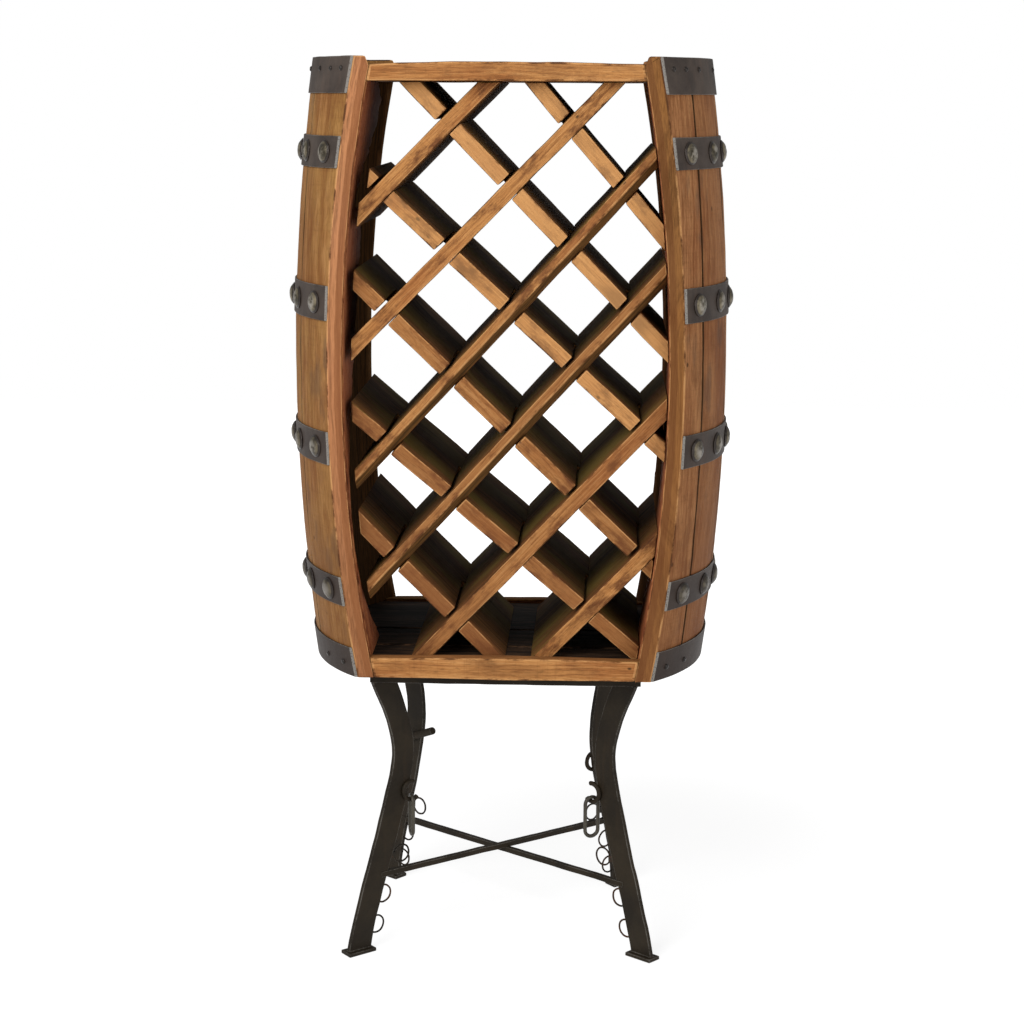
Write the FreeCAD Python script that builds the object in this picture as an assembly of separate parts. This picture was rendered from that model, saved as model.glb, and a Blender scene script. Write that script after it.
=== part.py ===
import FreeCAD, Part
import math
import os

from FreeCAD import Vector

# Barrel wine rack: two barrel walls with a bottle lattice between them, on an iron stand.
# Millimetres, +Z up, the front faces -Y, origin on the floor below the middle of the barrel.

# Barrel
barrel_base = 460.0
barrel_height = 950.0
head_radius = 310.0
bilge_rise = 34.0
cut_plane = 212.0
stave_thickness = 18.0
left_seam_angles = (-20.0, 0.0, 20.0)
right_seam_angles = (-29.25, -9.75, 9.75, 29.25)
left_seam_gap = 0.6
right_seam_gap = 2.0
sweep_limit = 60.0

# Bands and their nails; shares of heights are of the barrel's, and shares of nails of the cut plane's
domed_band_shares = (0.8505, 0.6121, 0.3784, 0.1432)
domed_band_widths = (48.0, 53.0, 51.0, 46.0)
top_band_width = 55.0
bottom_band_width = 47.0
bottom_band_lift = 1.0
band_thickness = 3.0
band_clearance = 0.2
dome_shares = (0.18, 0.535, 0.865)
dome_radius = 17.5
dome_height = 8.0
nail_seat = 0.1
nail_radius = 4.0
nail_height = 2.5
top_nail_shares = (0.255, 0.62, 0.8, 0.925)
top_nail_drop = 18.0
bottom_nail_shares = (0.69, 0.905)
bottom_nail_rise = 21.0

# Lining boards inside the front edges
lining_thickness = 14.0
lining_front = 194.0
lining_depth = 150.0
wall_clearance = 0.3
# Down the split rear edge of the left board: its depth, and shares of its height
left_split_depths = (165.0, 240.0, 170.0, 64.0, 170.0, 190.0, 135.0, 143.0)
left_split_shares = (1.0, 0.943, 0.872, 0.7905, 0.7544, 0.7, 0.505, 0.0)

# Rails, floor boards and top boards
rail_depth = 22.0
top_rail_drop = 36.5
top_rail_height = 25.0
top_rail_rise = 4.0
bottom_rail_height = 32.0
bottom_rail_rise = 2.5
shelf_thickness = 28.0
shelf_gap = 6.0
shelf_joints = (-112.0, 0.0)
top_board_thickness = 18.0
top_board_gap = 4.0
top_board_joints = (-63.0, 63.0)

# Lattice boards: where each meets the left and the right wall, as shares of the barrel's height
rise_boards = ((0.7267, 1.2543), (0.5226, 1.0535), (0.3035, 0.8698),
               (0.0989, 0.6682), (-0.1006, 0.4461), (-0.3048, 0.2403))
fall_boards = ((1.3137, 0.7063), (1.0708, 0.5342), (0.8465, 0.3684),
               (0.6617, 0.1589), (0.4449, 0.0010), (0.2759, -0.2494))
lattice_thickness = 24.0
lattice_front = 185.0
lattice_rear = 155.0
fall_setback = 2.5
slot_clearance = 0.6
slot_play = 4.5
lattice_end_clearance = 0.5
left_end_gap = 10.0
short_board_number = 3
short_end_gap = 20.0
waney_board_numbers = (3, 4)
wane = 11.0
board_reach = 450.0

# Stand
frame_overlap = 11.8
frame_setback = 44.0
frame_flange = 19.5
frame_wall = 4.0
leg_plan_angle = 40.0
foot_splay_x = 15.4
foot_splay_y = 15.0
leg_thickness = 8.0
foot_length = 50.0
foot_width = 26.0
foot_thickness = 6.0
# Up the leg: how far in from the foot's centre its outer edge stands, its width, and shares of its height
leg_reaches = (-20.0, 24.5, 57.3, 67.5, 57.0, 27.0)
leg_widths = (41.0, 41.0, 40.0, 38.0, 40.0, 45.0)
leg_shares = (0.0, 0.35, 0.5965, 0.707, 0.838, 1.0)
# How much further in than the front left leg the others stand, at the same shares of their height
front_right_insets = (5.0, 5.0, 2.0, 0.0, -1.0, -3.0)
rear_left_insets = (22.0, 11.0, 3.5, 0.0, 0.0, 0.0)
rear_right_insets = (47.0, 32.0, 21.0, 11.0, 8.0, 0.0)
rear_right_head = 55.0
leg_shift = -3.0
brace_size = 9.0
brace_height = 116.5
brace_overrun = 12.0
weld_clearance = 0.02

# Wire loops, hooks and hanging links
loop_heights = (148.0, 88.0, 40.0)
rear_loop_drop = 6.0
loop_radius = 14.0
loop_wire = 1.5
loop_offset = 5.0
ring_offset = 21.0
tab_length = 11.0
tab_height = 10.0
tab_thickness = 5.0
tab_seat = 2.75
hook_height = 252.0
hook_radius = 15.0
hook_rod = 3.5
left_hook_offset = 4.0
right_hook_offset = 11.0
hook_start = 75.0
hook_sweep = 240.0
rear_hook_height = 229.0
rear_hook_offset = -9.0
rear_hook_start = -120.0
peg_radius = 6.5
peg_start = (-24.0, 263.0)
peg_end = (35.0, 287.0)
link_rod = 3.0
link_radius = 11.5
link_straight = 42.0
link_slack = 0.6
left_link_turn = -72.0
right_link_turn = 28.0

half_height = barrel_height / 2.0
bilge_radius = head_radius + bilge_rise
profile_radius = (half_height ** 2 + bilge_rise ** 2) / (2.0 * bilge_rise)
barrel_top = barrel_base + barrel_height
top_rail_bottom = barrel_height - top_rail_drop
lining_height = top_rail_bottom - shelf_thickness
beyond = 2.0 * head_radius
side = Vector(math.cos(math.radians(leg_plan_angle)), math.sin(math.radians(leg_plan_angle)), 0)
front = Vector(side.y, -side.x, 0)
sideways = Vector(leg_shift, 0, 0)


def wall_radius(height):
    # outer radius of the barrel at a height above the foot of the staves
    return bilge_radius - profile_radius + math.sqrt(profile_radius ** 2 - (height - half_height) ** 2)


def inner_half_width(height):
    # distance from the middle plane to the inner arris of the cut staves
    return math.sqrt((wall_radius(height) - stave_thickness) ** 2 - cut_plane ** 2)


frame_half_length = inner_half_width(0.0) + frame_overlap
frame_half_depth = cut_plane - frame_setback
leg_foot_x = frame_half_length + foot_splay_x
leg_foot_y = frame_half_depth + foot_splay_y


def box(x0, x1, y0, y1, z0, z1):
    return Part.makeBox(x1 - x0, y1 - y0, z1 - z0, Vector(x0, y0, z0))


def arc_between(a, b, c):
    return Part.Arc(a, b, c).toShape()


def face_of(edges):
    return Part.Face(Part.Wire(edges))


def polygon_face(points):
    return Part.Face(Part.makePolygon(points + [points[0]]))


def profile_arc(inset):
    # the barrel's bulging outline in the XZ plane, set in by the inset
    foot = Vector(head_radius - inset, 0, barrel_base)
    belly = Vector(bilge_radius - inset, 0, barrel_base + half_height)
    head = Vector(head_radius - inset, 0, barrel_top)
    return foot, head, arc_between(foot, belly, head)


def turn(shape, degrees):
    shape.rotate(Vector(0, 0, 0), Vector(0, 0, 1), degrees)
    return shape


def flip(shape):
    # the same piece on the other side of the middle plane
    return shape.mirror(Vector(0, 0, 0), Vector(1, 0, 0))


def to_rear(shape):
    return shape.mirror(Vector(0, 0, 0), Vector(0, 1, 0))


def shift(shape):
    # to where the legs really stand below the frame
    moved = shape.copy()
    moved.translate(sideways)
    return moved


def make_interior():
    foot, head, arc = profile_arc(stave_thickness + wall_clearance)
    low = Vector(0, 0, foot.z)
    high = Vector(0, 0, head.z)
    outline = [Part.makeLine(low, foot), arc, Part.makeLine(head, high), Part.makeLine(high, low)]
    return face_of(outline).revolve(Vector(0, 0, 0), Vector(0, 0, 1), 360)


def make_stave(start, end):
    foot, head, outer = profile_arc(0)
    inner_foot, inner_head, inner = profile_arc(stave_thickness)
    outline = [outer, Part.makeLine(head, inner_head), inner, Part.makeLine(inner_foot, foot)]
    section = turn(face_of(outline), start)
    stave = section.revolve(Vector(0, 0, 0), Vector(0, 0, 1), end - start)
    return stave.common(box(-beyond, beyond, -cut_plane, cut_plane, 0, barrel_top))


def make_staves(seams, gap):
    half_gap = math.degrees(gap / 2.0 / bilge_radius)
    edges = (-sweep_limit,) + seams + (sweep_limit,)
    staves = []
    for low, high in zip(edges[:-1], edges[1:]):
        start = low + half_gap if low > -sweep_limit else low
        end = high - half_gap if high < sweep_limit else high
        staves.append(make_stave(start, end))
    return staves


def band_spans():
    # the lower and upper edge of each band above the foot of the staves, from the top down
    spans = [(barrel_height - top_band_width, barrel_height)]
    for share, width in zip(domed_band_shares, domed_band_widths):
        middle = barrel_height * share
        spans.append((middle - width / 2.0, middle + width / 2.0))
    spans.append((bottom_band_lift, bottom_band_lift + bottom_band_width))
    return spans


def make_band(low, high):
    seat_low = wall_radius(low) + band_clearance
    seat_high = wall_radius(high) + band_clearance
    points = [Vector(seat_low, 0, barrel_base + low), Vector(seat_high, 0, barrel_base + high),
              Vector(seat_high + band_thickness, 0, barrel_base + high),
              Vector(seat_low + band_thickness, 0, barrel_base + low)]
    section = turn(polygon_face(points), -sweep_limit)
    band = section.revolve(Vector(0, 0, 0), Vector(0, 0, 1), 2 * sweep_limit)
    return band.common(box(0, beyond, -cut_plane, cut_plane, 0, barrel_top))


def make_dome(radius, height):
    # a domed nail head on the XY plane
    ball = (radius ** 2 + height ** 2) / (2.0 * height)
    crown = Part.makeSphere(ball, Vector(0, 0, height - ball))
    return crown.common(box(-radius, radius, -radius, radius, 0, height))


def seat_nail(nail, share, height):
    # stands a nail head on the band, its distance from the middle a share of the cut plane's
    lean = math.degrees(math.asin((height - half_height) / profile_radius))
    nail.rotate(Vector(0, 0, 0), Vector(0, 1, 0), 90 - lean)
    seat = wall_radius(height) + band_clearance + band_thickness + nail_seat
    nail.translate(Vector(seat, 0, barrel_base + height))
    return turn(nail, math.degrees(math.asin(cut_plane * share / seat)))


def make_row(shares, height, radius, rise):
    # a row of nail heads on both halves of one band
    return [seat_nail(make_dome(radius, rise), sign * share, height) for share in shares for sign in (-1, 1)]


def make_dome_nails():
    nails = []
    for share in domed_band_shares:
        nails += make_row(dome_shares, barrel_height * share, dome_radius, dome_height)
    return nails + [flip(nail) for nail in nails]


def make_band_nails():
    nails = make_row(top_nail_shares, barrel_height - top_nail_drop, nail_radius, nail_height)
    nails += make_row(bottom_nail_shares, bottom_nail_rise, nail_radius, nail_height)
    return nails + [flip(nail) for nail in nails]


def wall_arc(offset, low, high):
    # the inner arris of a wall from one height to another, moved outwards by the offset
    points = []
    for height in (low, (low + high) / 2.0, high):
        points.append(Vector(inner_half_width(height) + offset, 0, barrel_base + height))
    return points[0], points[2], arc_between(*points)


def make_lining(depths, shares, bottom_rail):
    # a board bent to the wall's bulge, notched over the rail, with its depth at shares of its height
    foot, head, inner = wall_arc(wall_clearance, shelf_thickness, top_rail_bottom)
    far_foot, far_head, outer = wall_arc(wall_clearance + lining_thickness, shelf_thickness, top_rail_bottom)
    outline = [inner, Part.makeLine(head, far_head), outer, Part.makeLine(far_foot, foot)]
    sheet = face_of(outline)
    sheet.translate(Vector(0, -lining_front, 0))
    board = sheet.extrude(Vector(0, max(depths), 0))
    points = [Vector(0, depth - lining_front, foot.z + lining_height * share)
              for depth, share in zip(depths, shares)]
    curve = Part.BSplineCurve()
    curve.interpolate(points)
    top = Vector(0, -lining_front, points[0].z)
    low = Vector(0, -lining_front, points[-1].z)
    rim = [curve.toShape(), Part.makeLine(points[-1], low), Part.makeLine(low, top),
           Part.makeLine(top, points[0])]
    return board.common(face_of(rim).extrude(Vector(beyond, 0, 0))).cut(bottom_rail)


def make_rail(interior, bottom, height, rise):
    z0 = barrel_base + bottom
    z1 = z0 + height
    span = inner_half_width(bottom + height)
    crown = Vector(0, -cut_plane, z1 + rise)
    arch = arc_between(Vector(-span, -cut_plane, z1), crown, Vector(span, -cut_plane, z1))
    corners = [Vector(span, -cut_plane, z1), Vector(beyond, -cut_plane, z1), Vector(beyond, -cut_plane, z0),
               Vector(-beyond, -cut_plane, z0), Vector(-beyond, -cut_plane, z1), Vector(-span, -cut_plane, z1)]
    edges = [arch] + [Part.makeLine(a, b) for a, b in zip(corners[:-1], corners[1:])]
    return face_of(edges).extrude(Vector(0, rail_depth, 0)).common(interior)


def make_boards(interior, joints, gap, bottom, thickness):
    edge = cut_plane - rail_depth
    z0 = barrel_base + bottom
    starts = [-edge] + [joint + gap / 2.0 for joint in joints]
    ends = [joint - gap / 2.0 for joint in joints] + [edge]
    boards = []
    for y0, y1 in zip(starts, ends):
        boards.append(box(-head_radius, head_radius, y0, y1, z0, z0 + thickness).common(interior))
    return boards


def make_cage(left_gap):
    # the room that the lattice boards fill, from lining to lining
    low = shelf_thickness + lattice_end_clearance
    high = top_rail_bottom - lattice_end_clearance
    foot, head, right = wall_arc(-lattice_end_clearance, low, high)
    left_foot, left_head, left = wall_arc(-left_gap, low, high)
    left = flip(left)
    left_foot = Vector(-left_foot.x, 0, left_foot.z)
    left_head = Vector(-left_head.x, 0, left_head.z)
    outline = [right, Part.makeLine(head, left_head), left, Part.makeLine(left_foot, foot)]
    sheet = face_of(outline)
    sheet.translate(Vector(0, -lattice_front, 0))
    return sheet.extrude(Vector(0, lattice_front + lattice_rear, 0))


def make_plank(board, low, high, y0, y1, wane_size=0.0):
    # a board from wall to wall, from low to high across its thickness, which shows from the front
    points = [Vector(0, y0, high), Vector(0, y1, high), Vector(0, y1, low)]
    if wane_size:
        points += [Vector(0, y0 + wane_size, low), Vector(0, y0, low + wane_size)]
    else:
        points.append(Vector(0, y0, low))
    plank = polygon_face(points).extrude(Vector(2 * board_reach, 0, 0))
    plank.translate(Vector(-board_reach, 0, 0))
    left, right = board
    climb = barrel_height * (right - left)
    tilt = math.degrees(math.atan2(climb, 2 * inner_half_width(half_height)))
    plank.rotate(Vector(0, 0, 0), Vector(0, 1, 0), -tilt)
    plank.translate(Vector(0, 0, barrel_base + barrel_height * (left + right) / 2.0))
    return plank


def make_lattice():
    # the rising boards are slotted from the rear and the falling ones from the front
    half = lattice_thickness / 2.0
    snug = half + slot_clearance / 2.0
    slot_middle = slot_clearance / 2.0
    cage = make_cage(left_end_gap)
    short_cage = make_cage(short_end_gap)
    fall_slots = [make_plank(board, -snug, snug, -slot_middle, beyond) for board in fall_boards]
    rise_slots = [make_plank(board, -snug, snug + slot_play, -beyond, slot_middle) for board in rise_boards]
    rises = []
    for number, board in enumerate(rise_boards, 1):
        cut = wane if number in waney_board_numbers else 0.0
        plank = make_plank(board, -half, half, -lattice_front, lattice_rear, cut)
        rises.append(plank.common(cage).cut(fall_slots))
    falls = []
    for number, board in enumerate(fall_boards, 1):
        plank = make_plank(board, -half, half, fall_setback - lattice_front, lattice_rear)
        room = short_cage if number == short_board_number else cage
        falls.append(plank.common(room).cut(rise_slots))
    return rises, falls


def make_frame_bar(length):
    # an angle bar along X with its corner at the top front, centred on X
    points = [Vector(0, 0, 0), Vector(0, frame_flange, 0), Vector(0, frame_flange, -frame_wall),
              Vector(0, frame_wall, -frame_wall), Vector(0, frame_wall, -frame_flange),
              Vector(0, 0, -frame_flange)]
    bar = polygon_face(points).extrude(Vector(length, 0, 0))
    bar.translate(Vector(-length / 2.0, 0, 0))
    return bar


def make_frame():
    near = make_frame_bar(2 * frame_half_length)
    near.translate(Vector(0, -frame_half_depth, barrel_base))
    end = turn(make_frame_bar(2 * frame_half_depth), 90)
    end.translate(Vector(frame_half_length, 0, barrel_base))
    rear = to_rear(near)
    end = end.cut([near, rear])
    return [near, rear], [end, flip(end)]


def leg_point(inward, height, out=0.0):
    # a point of the front left leg's plane, inward from its foot's centre and out of its front face
    return Vector(-leg_foot_x, -leg_foot_y, height) + side * inward + front * out


def leg_height(share):
    return foot_thickness + (barrel_base - frame_flange - foot_thickness) * share


def leg_edges(insets, widths):
    # how far in the outer and the inner edge of a leg stand
    outer = [inward + inset for inward, inset in zip(leg_reaches, insets)]
    return outer, [inward + width for inward, width in zip(outer, widths)]


def leg_curve(reaches):
    # a long edge of the leg, on the rear of its plate
    curve = Part.BSplineCurve()
    curve.interpolate([leg_point(inward, leg_height(share), -leg_thickness / 2.0)
                       for inward, share in zip(reaches, leg_shares)])
    return curve


def inner_edge_at(edges, height):
    # how far in the leg's inner edge stands at a height
    curve = Part.BSplineCurve()
    curve.interpolate([Vector(inward, 0, leg_height(share)) for inward, share in zip(edges[1], leg_shares)])
    level = Part.makeLine(Vector(-leg_foot_x, 0, height), Vector(leg_foot_x, 0, height))
    return curve.toShape().distToShape(level)[1][0][0].x


def make_leg(edges):
    # a leg in the front left leg's plane
    outer, inner = [leg_curve(reaches) for reaches in edges]
    foot = Part.makeLine(outer.StartPoint, inner.StartPoint)
    top = Part.makeLine(outer.EndPoint, inner.EndPoint)
    plate = face_of([outer.toShape(), top, inner.toShape(), foot]).extrude(front * leg_thickness)
    pad = box(-foot_length / 2.0, foot_length / 2.0, -foot_width / 2.0, foot_width / 2.0, 0, foot_thickness)
    pad = turn(pad, leg_plan_angle)
    pad.translate(leg_point(edges[0][0] - leg_reaches[0], 0))
    return plate.fuse(pad).removeSplitter()


def make_brace(front_edges, rear_edges, height):
    # a square bar from a leg at the front left to one at the rear right
    start = leg_point(inner_edge_at(front_edges, height) - brace_overrun, height)
    end = leg_point(inner_edge_at(rear_edges, height) - brace_overrun, height)
    end = Vector(-end.x, -end.y, height)
    path = end - start
    half = brace_size / 2.0
    bar = box(0, path.Length, -half, half, -half, half)
    bar = turn(bar, math.degrees(math.atan2(path.y, path.x)))
    bar.translate(start)
    pieces = bar.cut([make_leg(front_edges), flip(to_rear(make_leg(rear_edges)))]).Solids
    return max(pieces, key=lambda solid: solid.Volume)


def tube(path, start, direction, radius):
    # a round rod along a path
    ring = Part.Wire(Part.makeCircle(radius, start, direction))
    return Part.Wire(path).makePipeShell([ring], True, True)


def rod_arc(centre, start):
    # the hook's part of a ring of round rod, standing upright in the leg's plane
    up = Vector(0, 0, 1)
    points = []
    for share in (0.0, 0.5, 1.0):
        angle = math.radians(start + hook_sweep * share)
        points.append(centre + (side * math.cos(angle) + up * math.sin(angle)) * hook_radius)
    angle = math.radians(start)
    direction = up * math.cos(angle) - side * math.sin(angle)
    return tube([arc_between(*points)], points[0], direction, hook_rod)


def make_loops(edges, drop):
    # three wire loops on one leg; the highest is a whole ring held in a tab
    leg = make_leg(edges)
    loops = []
    for index, level in enumerate(loop_heights):
        height = level - drop if index == 0 else level
        edge = inner_edge_at(edges, height)
        offset = ring_offset if index == 0 else loop_offset
        centre = leg_point(edge + offset, height)
        ring = Part.makeTorus(loop_radius, loop_wire, centre, front)
        if index == 0:
            tab = box(0, tab_length, -tab_thickness / 2.0, tab_thickness / 2.0, 0, tab_height)
            tab = turn(tab, leg_plan_angle)
            tab.translate(leg_point(edge - tab_seat, height - tab_height / 2.0))
            ring = ring.fuse(tab).cut(leg).removeSplitter()
        else:
            ring = ring.cut(leg)
        loops.append(max(ring.Solids, key=lambda solid: solid.Volume))
    return loops


def hook_centre(edges, height, offset):
    # the middle of a hook whose rod lies against the leg's face
    out = leg_thickness / 2.0 + hook_rod + weld_clearance
    return leg_point(inner_edge_at(edges, height) + offset, height, out)


def make_peg(edges):
    # a round peg against the face that the rear left leg turns to the front
    out = -leg_thickness / 2.0 - peg_radius - weld_clearance
    edge = inner_edge_at(edges, peg_start[1])
    start, end = [leg_point(edge + inward, height, out) for inward, height in (peg_start, peg_end)]
    path = end - start
    return to_rear(Part.makeCylinder(peg_radius, path.Length, start, path))


def make_link(centre, degrees):
    # an oval link hanging below its pivot, its flat side turned about the vertical
    top = hook_rod + link_slack + link_rod
    upper = top - link_radius
    lower = upper - link_straight
    r = link_radius
    path = [arc_between(Vector(-r, 0, upper), Vector(0, 0, upper + r), Vector(r, 0, upper)),
            Part.makeLine(Vector(r, 0, upper), Vector(r, 0, lower)),
            arc_between(Vector(r, 0, lower), Vector(0, 0, lower - r), Vector(-r, 0, lower)),
            Part.makeLine(Vector(-r, 0, lower), Vector(-r, 0, upper))]
    link = tube(path, Vector(-r, 0, upper), Vector(0, 0, 1), link_rod)
    link = turn(link, degrees)
    link.translate(centre)
    return link


def save(name, shapes):
    shape = shapes[0] if len(shapes) == 1 else Part.Compound(shapes)
    shape.exportStep("parts/" + name + ".step")
    bad = [piece for piece in shape.Solids if not piece.isValid() or piece.Volume <= 0]
    print(name, len(shape.Solids), "solids", round(shape.Volume / 1000.0, 2), "cm3", "BAD" if bad else "")


def main():
    os.makedirs("parts", exist_ok=True)
    interior = make_interior()

    for number, stave in enumerate(make_staves(right_seam_angles, right_seam_gap), 1):
        save("stave_right_%d" % number, [stave])
    for number, stave in enumerate(make_staves(left_seam_angles, left_seam_gap), 1):
        save("stave_left_%d" % number, [flip(stave)])

    for number, (low, high) in enumerate(band_spans(), 1):
        band = make_band(low, high)
        save("band_right_%d" % number, [band])
        save("band_left_%d" % number, [flip(band)])
    save("dome_nails", make_dome_nails())
    save("band_nails", make_band_nails())

    top_rail = make_rail(interior, top_rail_bottom, top_rail_height, top_rail_rise)
    bottom_rail = make_rail(interior, 0.0, bottom_rail_height, bottom_rail_rise)
    save("lining_right", [make_lining((lining_depth, lining_depth), (1.0, 0.0), bottom_rail)])
    save("lining_left", [flip(make_lining(left_split_depths, left_split_shares, bottom_rail))])
    save("top_rail_front", [top_rail])
    save("top_rail_rear", [to_rear(top_rail)])
    save("bottom_rail_front", [bottom_rail])
    save("bottom_rail_rear", [to_rear(bottom_rail)])
    top_boards = make_boards(interior, top_board_joints, top_board_gap, top_rail_bottom, top_board_thickness)
    save("top_boards", top_boards)
    save("shelf_boards", make_boards(interior, shelf_joints, shelf_gap, 0.0, shelf_thickness))

    rises, falls = make_lattice()
    for number, board in enumerate(rises, 1):
        save("lattice_rise_%d" % number, [board])
    for number, board in enumerate(falls, 1):
        save("lattice_fall_%d" % number, [board])

    long_bars, end_bars = make_frame()
    save("frame_long_bars", long_bars)
    save("frame_end_bars", end_bars)

    front_left = leg_edges((0.0,) * len(leg_shares), leg_widths)
    front_right = leg_edges(front_right_insets, leg_widths)
    rear_left = leg_edges(rear_left_insets, leg_widths)
    rear_right = leg_edges(rear_right_insets, leg_widths[:-1] + (rear_right_head,))
    save("leg_front_left", [shift(make_leg(front_left))])
    save("leg_front_right", [shift(flip(make_leg(front_right)))])
    save("leg_rear_left", [shift(to_rear(make_leg(rear_left)))])
    save("leg_rear_right", [shift(flip(to_rear(make_leg(rear_right))))])
    save("brace_high", [shift(make_brace(front_left, rear_right, brace_height + brace_size / 2.0))])
    save("brace_low", [shift(flip(make_brace(front_right, rear_left, brace_height - brace_size / 2.0)))])

    loops = make_loops(front_left, 0.0)
    loops += [flip(loop) for loop in make_loops(front_right, 0.0)]
    loops += [to_rear(loop) for loop in make_loops(rear_left, rear_loop_drop)]
    loops += [flip(to_rear(loop)) for loop in make_loops(rear_right, rear_loop_drop)]
    save("wire_loops", [shift(loop) for loop in loops])
    left_centre = hook_centre(front_left, hook_height, left_hook_offset)
    right_centre = hook_centre(front_right, hook_height, right_hook_offset)
    rear_centre = hook_centre(rear_right, rear_hook_height, rear_hook_offset)
    hooks = [rod_arc(left_centre, hook_start), flip(rod_arc(right_centre, hook_start)),
             flip(to_rear(rod_arc(rear_centre, rear_hook_start)))]
    save("hooks", [shift(hook) for hook in hooks])
    save("peg_rear_left", [shift(make_peg(rear_left))])

    # the middle of each front hook's rod at its lowest point
    left_pivot = left_centre - Vector(0, 0, hook_radius)
    right_pivot = right_centre - Vector(0, 0, hook_radius)
    right_pivot.x = -right_pivot.x
    save("link_left", [shift(make_link(left_pivot, left_link_turn))])
    save("link_right", [shift(make_link(right_pivot, right_link_turn))])
    print("link pivots", left_pivot + sideways, right_pivot + sideways)


main()
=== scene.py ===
import math

import bmesh
import bpy
from bpy.props import FloatProperty, FloatVectorProperty, PointerProperty
from mathutils import Matrix, Vector, noise


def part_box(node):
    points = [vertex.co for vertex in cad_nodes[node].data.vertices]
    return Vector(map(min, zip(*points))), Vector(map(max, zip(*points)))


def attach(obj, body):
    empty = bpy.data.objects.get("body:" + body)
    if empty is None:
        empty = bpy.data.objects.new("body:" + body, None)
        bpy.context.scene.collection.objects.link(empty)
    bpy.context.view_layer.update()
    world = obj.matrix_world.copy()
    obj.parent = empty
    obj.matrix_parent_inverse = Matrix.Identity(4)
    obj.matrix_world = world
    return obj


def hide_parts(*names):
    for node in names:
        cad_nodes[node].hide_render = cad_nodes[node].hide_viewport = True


bl_info = {
    "name": "Barrel wine rack",
    "version": (1, 0, 0),
    "blender": (4, 5, 0),
    "location": "3D View > Sidebar > Wine rack",
    "description": "Dresses the frame of a barrel wine rack in worn oak and blackened iron",
    "category": "Object",
}

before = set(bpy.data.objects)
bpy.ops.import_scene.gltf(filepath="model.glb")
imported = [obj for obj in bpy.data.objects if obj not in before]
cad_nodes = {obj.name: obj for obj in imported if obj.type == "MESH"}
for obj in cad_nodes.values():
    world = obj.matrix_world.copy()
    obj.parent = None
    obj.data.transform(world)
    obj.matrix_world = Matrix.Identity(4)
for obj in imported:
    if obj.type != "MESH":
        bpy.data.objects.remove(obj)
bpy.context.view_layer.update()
# Without a seed, Blender's vector noise starts from the clock and differs in each run
noise.seed_set(1)

RACK = "rack"
LINKS = {"left": "hanging_link_left", "right": "hanging_link_right"}
ACROSS = Vector((1, 0, 0))
DEPTH = Vector((0, 1, 0))
UP = Vector((0, 0, 1))
WHITE = (1.0, 1.0, 1.0, 1.0)

# Vertices nearer than WELD are one, faces within FLAT degrees are one, and CLEAN is for a plane cut
WELD, FLAT, CLEAN = 0.00002, 0.6, 0.000001
# Edges sharper than these many degrees are rounded, or shaded as edges
WOOD_EDGE, IRON_EDGE, ROD_EDGE, SHADED_EDGE = 35.0, 50.0, 70.0, 42.0

# Short waves on the long ones of an uneven piece: how much shorter and how much lower
SHORT_SCALE, SHORT_SHARE = 3.1, 0.35

# Staves: how far a wall reaches round the barrel to each side, in degrees, and rows of faces
WALL_REACH = 60.0
STAVE_ROWS = 26
# Seams between the staves in degrees, and how dark each stave is
WALLS = {
    "left": ((-20.0, 0.0, 20.0), (0.35, -0.25, 0.3, 0.1)),
    "right": ((-29.25, -9.75, 9.75, 29.25), (0.1, 0.5, -0.2, 0.3, -0.1)),
}
# Steps of a stave between two seams, of one that ends at a saw cut, and of a band
SEAM_STEPS, CUT_STEPS, BAND_STEPS = 8, 20, 40
# A point is inside from this share of a stave's thickness, and this far behind the saw cut
INSIDE_SHARE, INSIDE_MARGIN = 0.8, 0.004
# How dark the foot of the barrel is, by grime and by painted shade, and the clear height of a stave
# below its chime
FOOT_GRIME_AND_SHADE, CHIME_CLEAR = 0.75, 0.01

# Half profiles of the nail heads: share of the radius, with metres (rim) or share of the height
DOME_RIM = ((0.0, 0.0003), (0.985, 0.0003), (1.0, 0.0008), (0.985, 0.0016), (0.92, 0.0022),
            (0.87, 0.0031))
DOME_CROWN = ((0.76, 0.56), (0.6, 0.76), (0.42, 0.9), (0.22, 0.98), (0.0, 1.0))
NAIL_CROWN = ((0.0, 0.0), (1.0, 0.0), (1.0, 0.3), (0.72, 0.8), (0.4, 1.0), (0.0, 1.0))
DOME_STEPS, NAIL_STEPS = 22, 9
# Scale of the dents in a head, and how far each head's dents are moved and turned from the last's
DENT_SCALE, HEAD_SHIFT, HEAD_TURN = 170.0, 3.1, 1.7

# Lattice boards from the first to the sixth: how dark each is (below 0 paler), and how shaded
TONES = {"rise": (0.2, 0.05, -0.1, 0.15, 0.6, 0.15), "fall": (-0.8, -0.9, -0.6, 0.2, 0.5, 0.8)}
SHADES = {"rise": (0.05, 0.1, 0.4, 0.8, 0.0, 0.0), "fall": (0.0, 0.0, 0.0, 0.6, 0.8, 1.0)}

# Lining boards: spacing of the cuts, warp and its wave length; the left one is split
LININGS = {"left": (0.008, 0.0032, 0.016), "right": (0.02, 0.0009, 0.08)}
# Where the split rear part of a lining starts, over what depth it fades, and its least share
SPLIT_REAR, SPLIT_DEPTH, SPLIT_LEAST = -0.13, 0.05, 0.12

# Lamps: place, side of the square and the setting that holds the power
LAMPS = {
    "key_lamp": ((-1.9, -3.0, 2.9), 2.4, "key"),
    "fill_lamp": ((2.6, -2.6, 1.7), 2.6, "fill"),
}
LAMP_AIM = Vector((0.0, 0.0, 0.8))

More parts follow.
